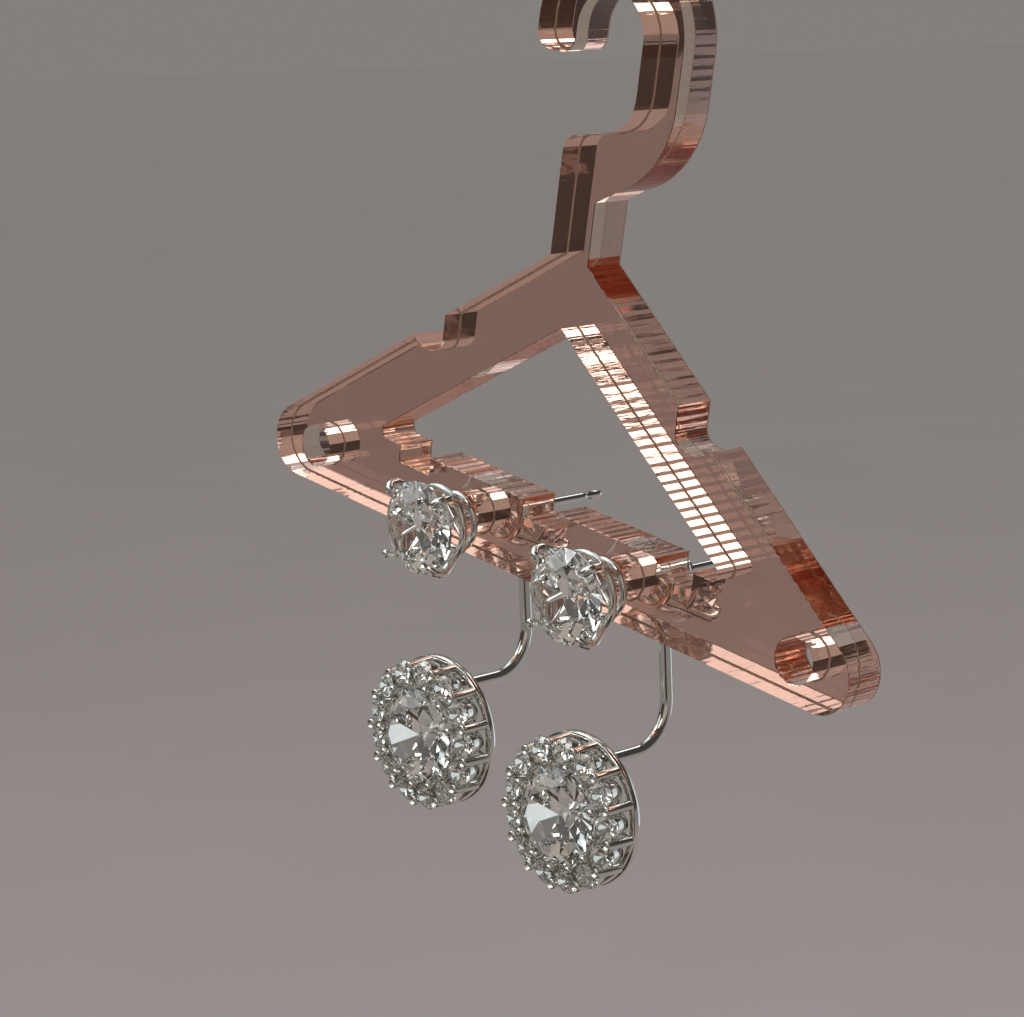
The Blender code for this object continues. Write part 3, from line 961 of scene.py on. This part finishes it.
def cut_sheet(shape, outlines, front, back):
    """Cuts a sheet with holes from its outlines, between two depths."""
    to_world = hanger_to_world()
    edges = []
    for outline in outlines:
        corners = []
        for u, w in outline:
            point = to_world @ (Vector((u, 0, w)) * MM)
            corners.append(shape.verts.new((point.x, front, point.z)))
        edges += [shape.edges.new((corners[i - 1], corners[i])) for i in range(len(corners))]
    bmesh.ops.triangle_fill(shape, use_beauty=True, edges=edges)
    raised = bmesh.ops.extrude_face_region(shape, geom=list(shape.faces))
    bmesh.ops.translate(
        shape,
        vec=(0, back - front, 0),
        verts=[item for item in raised["geom"] if isinstance(item, bmesh.types.BMVert)],
    )
    bmesh.ops.recalc_face_normals(shape, faces=shape.faces)


def finish_metal(name, shape, body, node, sharp):
    """Tidies a soldered or turned shape and finishes it as a piece of plated metal."""
    tidy(shape)
    finish_piece(name, shape, body, node, [rhodium_plate()], sharp)


class EARJACKETS_OT_cut_hanger(bpy.types.Operator):
    """Cuts the acrylic hanger with its mirror film, and the lacquer coat behind it"""

    bl_idname = "ear_jackets.cut_hanger"
    bl_label = "Cut Hanger"

    def execute(self, context):
        settings = context.scene.ear_jackets_hanger
        low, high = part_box("hanger_plate")
        chance = random.Random(RIB_SEED)
        rim, *holes = hanger_outlines()
        pitch = settings.rib_pitch / MM
        outlines = [ribbed(rim, False, pitch, settings.rim_rib_depth / MM, chance)]
        outlines += [ribbed(hole, True, pitch, settings.hole_rib_depth / MM, chance) for hole in holes]
        coat_front = high.y - settings.coat_thickness
        chamfer = settings.chamfer
        sheet = bmesh.new()
        cut_sheet(sheet, outlines, low.y + chamfer, coat_front - FILM_CLEARANCE)
        for face in faces_towards(sheet, 1):
            face.material_index = FILM_INDEX
        bmesh.ops.inset_region(
            sheet,
            faces=faces_towards(sheet, -1),
            thickness=chamfer,
            depth=chamfer,
            use_boundary=True,
            use_even_offset=True,
        )
        strip = bmesh.ops.inset_region(
            sheet,
            faces=faces_towards(sheet, 1),
            thickness=settings.film_gap,
            use_boundary=True,
            use_even_offset=True,
        )
        for face in strip["faces"]:
            face.material_index = STRIP_INDEX
        finishes = [cast_acrylic(settings), mirror_film(settings), back_coat(settings)]
        finish_piece("acrylic_hanger", sheet, "hanger", "hanger_plate", finishes)
        coat = bmesh.new()
        cut_sheet(coat, outlines, coat_front, high.y)
        finishes = [back_coat(settings)]
        finish_piece("hanger_back_coat", coat, "hanger", "hanger_plate", finishes)
        return {"FINISHED"}


class EARJACKETS_OT_solder_studs(bpy.types.Operator):
    """Solders each stud's claws, rings and post, and slides a clutch on the post"""

    bl_idname = "ear_jackets.solder_studs"
    bl_label = "Solder Studs"

    def stud(self, side, settings):
        """Claws that rise from the middle of the base, the two rings that join them, and the post."""
        shape = bmesh.new()
        place = stud_frame(side)
        for claw in range(settings.claws):
            turn = settings.claw_turn + claw * FULL_TURN / settings.claws
            knots = route_knots(CLAW_ROUTE, settings.claw_radius, turn)
            draw_wire(shape, tipped(smooth_route(knots, 4), ROUND_TIP), place)
        base = round_section(settings.base_radius, STUD_BASE_D * MM, settings.ring_wire)
        gallery = round_section(settings.gallery_radius, STUD_GALLERY_D * MM, settings.ring_wire)
        spin_section(shape, place, base, RING_STEPS)
        spin_section(shape, place, gallery, RING_STEPS)
        post = route_knots(POST_ROUTE, settings.post_radius)
        draw_wire(shape, tipped(post, LOW_TIP), place, sides=20)
        finish_metal(f"stud_basket_{side}", shape, "hanger", f"stud_setting_{side}", WIRE_SHARP)

    def clutch(self, side, settings):
        """A plain round back: a turned body with a waist, and a bore for the post."""
        low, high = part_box(f"clutch_{side}")
        depth = high.y - low.y
        radius = (high.x - low.x) / 2
        bore = settings.post_radius * CLUTCH_BORE
        middle = Vector(((low.x + high.x) / 2, high.y, (low.z + high.z) / 2))
        section = [
            (bore, 0.0),
            *((radius * row["across"], depth * row["along"]) for row in CLUTCH_PROFILE),
            (bore * CLUTCH_DISH, depth),
            (bore, depth * CLUTCH_LIP),
        ]
        shape = bmesh.new()
        spin_section(shape, facing_front(middle), section, CLUTCH_STEPS)
        finish_metal(f"round_clutch_{side}", shape, "hanger", f"clutch_{side}", CLUTCH_SHARP)

    def execute(self, context):
        for side in SIDES:
            self.stud(side, context.scene.ear_jackets_studs)
            self.clutch(side, context.scene.ear_jackets_studs)
        return {"FINISHED"}


class EARJACKETS_OT_bend_jackets(bpy.types.Operator):
    """Bends each jacket's wire from its loop, and builds the cage that holds its stones"""

    bl_idname = "ear_jackets.bend_jackets"
    bl_label = "Bend Jackets"

    def hanging_wire(self, shape, hinge, back, settings):
        """The loop on the post, and the wire down behind the bar and forward to the cage."""
        place = facing_front(hinge)
        loop = round_section(settings.loop_radius, 0, settings.wire_radius, sides=16)
        spin_section(shape, place, loop, RING_STEPS)
        bend = settings.bend_radius
        top = -(settings.reach_down - bend)
        knots = [Vector((0, -settings.loop_radius, 0)), Vector((0, top * WIRE_MIDDLE, 0))]
        for step in range(WIRE_BEND_STEPS + 1):
            turn = step / WIRE_BEND_STEPS * math.pi / 2
            knots.append(Vector((0, top - bend * math.sin(turn), bend * (1 - math.cos(turn)))))
        knots.append(Vector((0, -settings.reach_down, (back + bend) / 2)))
        knots.append(Vector((0, -settings.reach_down, back)))
        route = [Vector((*knot, settings.wire_radius)) for knot in knots]
        route[-1].w *= WIRE_END
        draw_wire(shape, tipped(route, LOW_TIP), place, sides=24)

    def cage(self, shape, place, settings, stone_radius):
        """Back rings, spokes, claws and beads, and a cup under each halo stone."""
        stones = settings.halo_stones
        for step in range(stones):
            turn = settings.halo_turn + (step + 0.5) * FULL_TURN / stones
            for wire in (OUTER_CLAW, INNER_CLAW, SPOKE):
                knots = route_knots(wire["route"], wire["wire"] * MM, turn)
                draw_wire(shape, tipped(smooth_route(knots, 3), wire["tip"]), place)
            bead = polar(BEAD_PLACE["r"] * MM, turn, BEAD_PLACE["d"] * MM)
            bmesh.ops.create_icosphere(
                shape,
                subdivisions=3,
                radius=settings.bead_radius,
                matrix=place @ Matrix.Translation(bead),
            )
            wall = [(stone_radius + row["r"] * MM, row["d"] * MM) for row in CUP_WALL]
            spin_section(shape, halo_place(place, step, settings), wall, CUP_STEPS)
        spin_section(shape, place, band_section(BACK_RING), CAGE_RING_STEPS)
        for ring in (BASE_RING, BEARING_RING):
            section = round_section(ring["r"] * MM, ring["d"] * MM, ring["wire"] * MM)
            spin_section(shape, place, section, CAGE_RING_STEPS)

    def execute(self, context):
        settings = context.scene.ear_jackets_jackets
        stone_radius = context.scene.ear_jackets_stones.halo_stone_radius
        for side in SIDES:
            hinge = hinge_point(side)
            place = cluster_frame(side)
            back = hinge.y - place.translation.y + CAGE_BACK_D * MM
            shape = bmesh.new()
            self.hanging_wire(shape, hinge, back, settings)
            self.cage(shape, place, settings, stone_radius)
            node = f"jacket_frame_{side}"
            finish_metal(f"jacket_cage_{side}", shape, f"jacket_{side}", node, WIRE_SHARP)
        return {"FINISHED"}


def halo_place(place, step, settings):
    """Where a halo stone sits in its cluster: on its ring, leaning outwards."""
    turn = Matrix.Rotation(-(settings.halo_turn + step * FULL_TURN / settings.halo_stones), 4, "Z")
    out = Matrix.Translation(Vector((0, settings.halo_radius, HALO_GIRDLE_D * MM)))
    lean = Matrix.Rotation(-settings.halo_tilt, 4, "X")
    return place @ turn @ out @ lean


def grind(shape, turn, slope, reach, height, up):
    """Grinds one flat: a plane at a slope to the girdle, through a reach from the axis."""
    outwards = Vector((math.cos(turn), math.sin(turn), 0))
    level = Vector((0, 0, height))
    cut = bmesh.ops.bisect_plane(
        shape,
        geom=[*shape.verts, *shape.edges, *shape.faces],
        dist=GRIND_TOLERANCE,
        plane_co=level + outwards * reach,
        plane_no=outwards * math.sin(slope) + Vector((0, 0, up * math.cos(slope))),
        clear_outer=True,
    )
    edges = [item for item in cut["geom_cut"] if isinstance(item, bmesh.types.BMEdge)]
    bmesh.ops.contextual_create(shape, geom=edges)


def full_cut_stone(settings):
    """A round full cut halo stone, with its girdle in the XY plane and its table up. It is ground at a
    radius of one and then brought to its size."""
    sides = 2 * MAINS
    crown = settings.crown_slope
    pavilion = settings.pavilion_slope
    table_height = GIRDLE_HALF + (1 - settings.table_reach) * math.tan(crown)
    shape = bmesh.new()
    bmesh.ops.create_cone(shape, cap_ends=True, segments=sides, radius1=1, radius2=1, depth=2)
    flat = math.cos(math.pi / sides)
    for step in range(sides):
        turn = (step + 0.5) * FULL_TURN / sides
        grind(shape, turn, crown + CROWN_HALF_STEEPER, flat, GIRDLE_HALF, 1)
        grind(shape, turn, pavilion + PAVILION_HALF_STEEPER, flat, -GIRDLE_HALF, -1)
    for step in range(MAINS):
        turn = step * FULL_TURN / MAINS
        grind(shape, turn, crown, MAIN_REACH, GIRDLE_HALF, 1)
        grind(shape, turn, pavilion, MAIN_REACH, -GIRDLE_HALF, -1)
    star_reach = (settings.table_reach - STAR_INSET) * math.cos(math.pi / MAINS)
    for step in range(MAINS):
        grind(shape, (step + 0.5) * FULL_TURN / MAINS, STAR_SLOPE, star_reach, table_height, 1)
    grind(shape, 0, 0, 0, table_height, 1)
    bmesh.ops.recalc_face_normals(shape, faces=shape.faces)
    radius = settings.halo_stone_radius
    bmesh.ops.scale(shape, vec=(radius, radius, radius), verts=shape.verts)
    return shape


class EARJACKETS_OT_set_stones(bpy.types.Operator):
    """Cuts and sets the halo stones, and finishes the large stones of studs and clusters"""

    bl_idname = "ear_jackets.set_stones"
    bl_label = "Set Stones"

    def execute(self, context):
        stones = context.scene.ear_jackets_stones
        jackets = context.scene.ear_jackets_jackets
        zirconia = cubic_zirconia()
        for side in SIDES:
            for node in (f"stud_stone_{side}", f"jacket_centre_stone_{side}"):
                large = frame["nodes"][node]
                large.data.materials.clear()
                large.data.materials.append(zirconia)
            place = cluster_frame(side)
            for step in range(jackets.halo_stones):
                shape = full_cut_stone(stones)
                shape.transform(halo_place(place, step, jackets))
                name = f"halo_brilliant_{side}_{step + 1:02d}"
                node = f"halo_stone_{side}_{step + 1:02d}"
                finish_piece(name, shape, f"jacket_{side}", node, [zirconia])
        return {"FINISHED"}


class EARJACKETS_OT_light_studio(bpy.types.Operator):
    """Lays the floor and sets the soft lights, the surroundings and the camera"""

    bl_idname = "ear_jackets.light_studio"
    bl_label = "Light Studio"

    def floor(self, settings):
        """A wide plain floor under the hanging piece."""
        shape = bmesh.new()
        level = Matrix.Translation(Vector((0, 0, -settings.floor_drop)))
        bmesh.ops.create_circle(shape, cap_ends=True, segments=96, radius=FLOOR_RADIUS, matrix=level)
        as_object("plain_floor", shape, [plain_floor(settings)])

    def standing(self, row):
        """The place that a row gives a light or a card, whose Z points away from the piece."""
        towards = Vector(row["towards"]).normalized()
        turned = towards.to_track_quat("Z", "Y").to_matrix().to_4x4()
        return Matrix.Translation(LIT_POINT + towards * row["distance"]) @ turned

    def softbox(self, box, strength):
        """A soft area light that faces the piece, as bright as its table says for each part of it."""
        lamp = bpy.data.lights.new(box["name"], "AREA")
        lamp.shape = "RECTANGLE"
        lamp.size = box["width"]
        lamp.size_y = box["height"]
        lamp.energy = strength * box["brightness"] * box["width"] * box["height"] * math.pi
        lamp.color = srgb(box["colour"])[:3]
        light = bpy.data.objects.new(box["name"], lamp)
        light.matrix_world = self.standing(box)
        light.visible_camera = False
        bpy.context.scene.collection.objects.link(light)

    def flag(self, flag):
        """A dark card outside every view, seen only in what the piece mirrors."""
        shape = bmesh.new()
        place = self.standing(flag)
        bmesh.ops.create_grid(shape, x_segments=1, y_segments=1, size=flag["size"] / 2, matrix=place)
        card = as_object(flag["name"], shape, [flocked_card()])
        card.visible_camera = False

    def surroundings(self, settings):
        """A dim room with broad soft parts: overhead, behind the camera, and the backdrop."""
        world = bpy.data.worlds.new("soft_studio")
        world.use_nodes = True
        tree = world.node_tree
        place = add_node(tree, "ShaderNodeTexCoord")
        base = add_node(tree, "ShaderNodeRGB")
        base.outputs["Color"].default_value = srgb(SURROUND)
        colour = base.outputs["Color"]
        for panel in PANELS:
            towards = add_node(
                tree,
                "ShaderNodeVectorMath",
                props={"operation": "DOT_PRODUCT"},
                values={1: Vector(panel["towards"]).normalized()},
                links={0: place.outputs["Generated"]},
            )
            glow = add_node(
                tree,
                "ShaderNodeMapRange",
                props={"interpolation_type": "SMOOTHSTEP"},
                values={
                    "From Min": math.cos(math.radians(panel["gone"])),
                    "From Max": math.cos(math.radians(panel["full"])),
                    "To Max": panel["strength"],
                },
                links={"Value": towards.outputs["Value"]},
            )
            added = add_node(
                tree,
                "ShaderNodeMix",
                props={"data_type": "RGBA", "blend_type": "ADD"},
                values={7: srgb(panel["colour"])},
                links={0: glow.outputs["Result"], 6: colour},
            )
            colour = added.outputs[2]
        backdrop = tree.nodes["Background"]
        backdrop.inputs["Strength"].default_value = settings.ambient
        tree.links.new(colour, backdrop.inputs["Color"])
        bpy.context.scene.world = world

    def camera(self):
        """The camera at the photo's angle and distance."""
        lens = bpy.data.cameras.new("photo_camera")
        lens.lens = CAMERA_LENS
        lens.sensor_width = CAMERA_SENSOR
        lens.clip_start, lens.clip_end = CAMERA_CLIP
        camera = bpy.data.objects.new("photo_camera", lens)
        camera.matrix_world = (
            Matrix.Translation(CAMERA_PLACE)
            @ Matrix.Rotation(CAMERA_AZIMUTH, 4, "Z")
            @ Matrix.Rotation(math.pi / 2 - CAMERA_ELEVATION, 4, "X")
            @ Matrix.Rotation(CAMERA_ROLL, 4, "Z")
        )
        bpy.context.scene.collection.objects.link(camera)
        bpy.context.scene.camera = camera

    def execute(self, context):
        settings = context.scene.ear_jackets_studio
        self.floor(settings)
        for flag in FLAGS:
            self.flag(flag)
        for box in SOFTBOXES:
            self.softbox(box, settings.softbox)
        self.surroundings(settings)
        self.camera()
        scene = context.scene
        scene.view_settings.view_transform = "Standard"
        scene.cycles.max_bounces = 24
        scene.cycles.glossy_bounces = 16
        scene.cycles.transmission_bounces = 20
        return {"FINISHED"}


class VIEW3D_PT_ear_jackets(bpy.types.Panel):
    """Lists the steps that build the looks, with their sizes and colours"""

    bl_label = "Ear Jackets"
    bl_idname = "VIEW3D_PT_ear_jackets"
    bl_space_type = "VIEW_3D"
    bl_region_type = "UI"
    bl_category = "Ear Jackets"

    def draw(self, context):
        for step in STEPS:
            self.layout.operator(step.bl_idname)
        for name, group in SETTINGS.items():
            box = self.layout.box()
            for value in group.__annotations__:
                box.prop(getattr(context.scene, name), value)


STEPS = (
    EARJACKETS_OT_cut_hanger,
    EARJACKETS_OT_solder_studs,
    EARJACKETS_OT_bend_jackets,
    EARJACKETS_OT_set_stones,
    EARJACKETS_OT_light_studio,
)
CLASSES = (*SETTINGS.values(), *STEPS, VIEW3D_PT_ear_jackets)


def register():
    for item in CLASSES:
        bpy.utils.register_class(item)
    for name, group in SETTINGS.items():
        setattr(bpy.types.Scene, name, PointerProperty(type=group))


def unregister():
    for name in SETTINGS:
        delattr(bpy.types.Scene, name)
    for item in reversed(CLASSES):
        bpy.utils.unregister_class(item)


def main():
    """Builds every piece and the stage."""
    register()
    bpy.ops.ear_jackets.cut_hanger()
    bpy.ops.ear_jackets.solder_studs()
    bpy.ops.ear_jackets.bend_jackets()
    bpy.ops.ear_jackets.set_stones()
    bpy.ops.ear_jackets.light_studio()


if __name__ == "__main__":
    main()
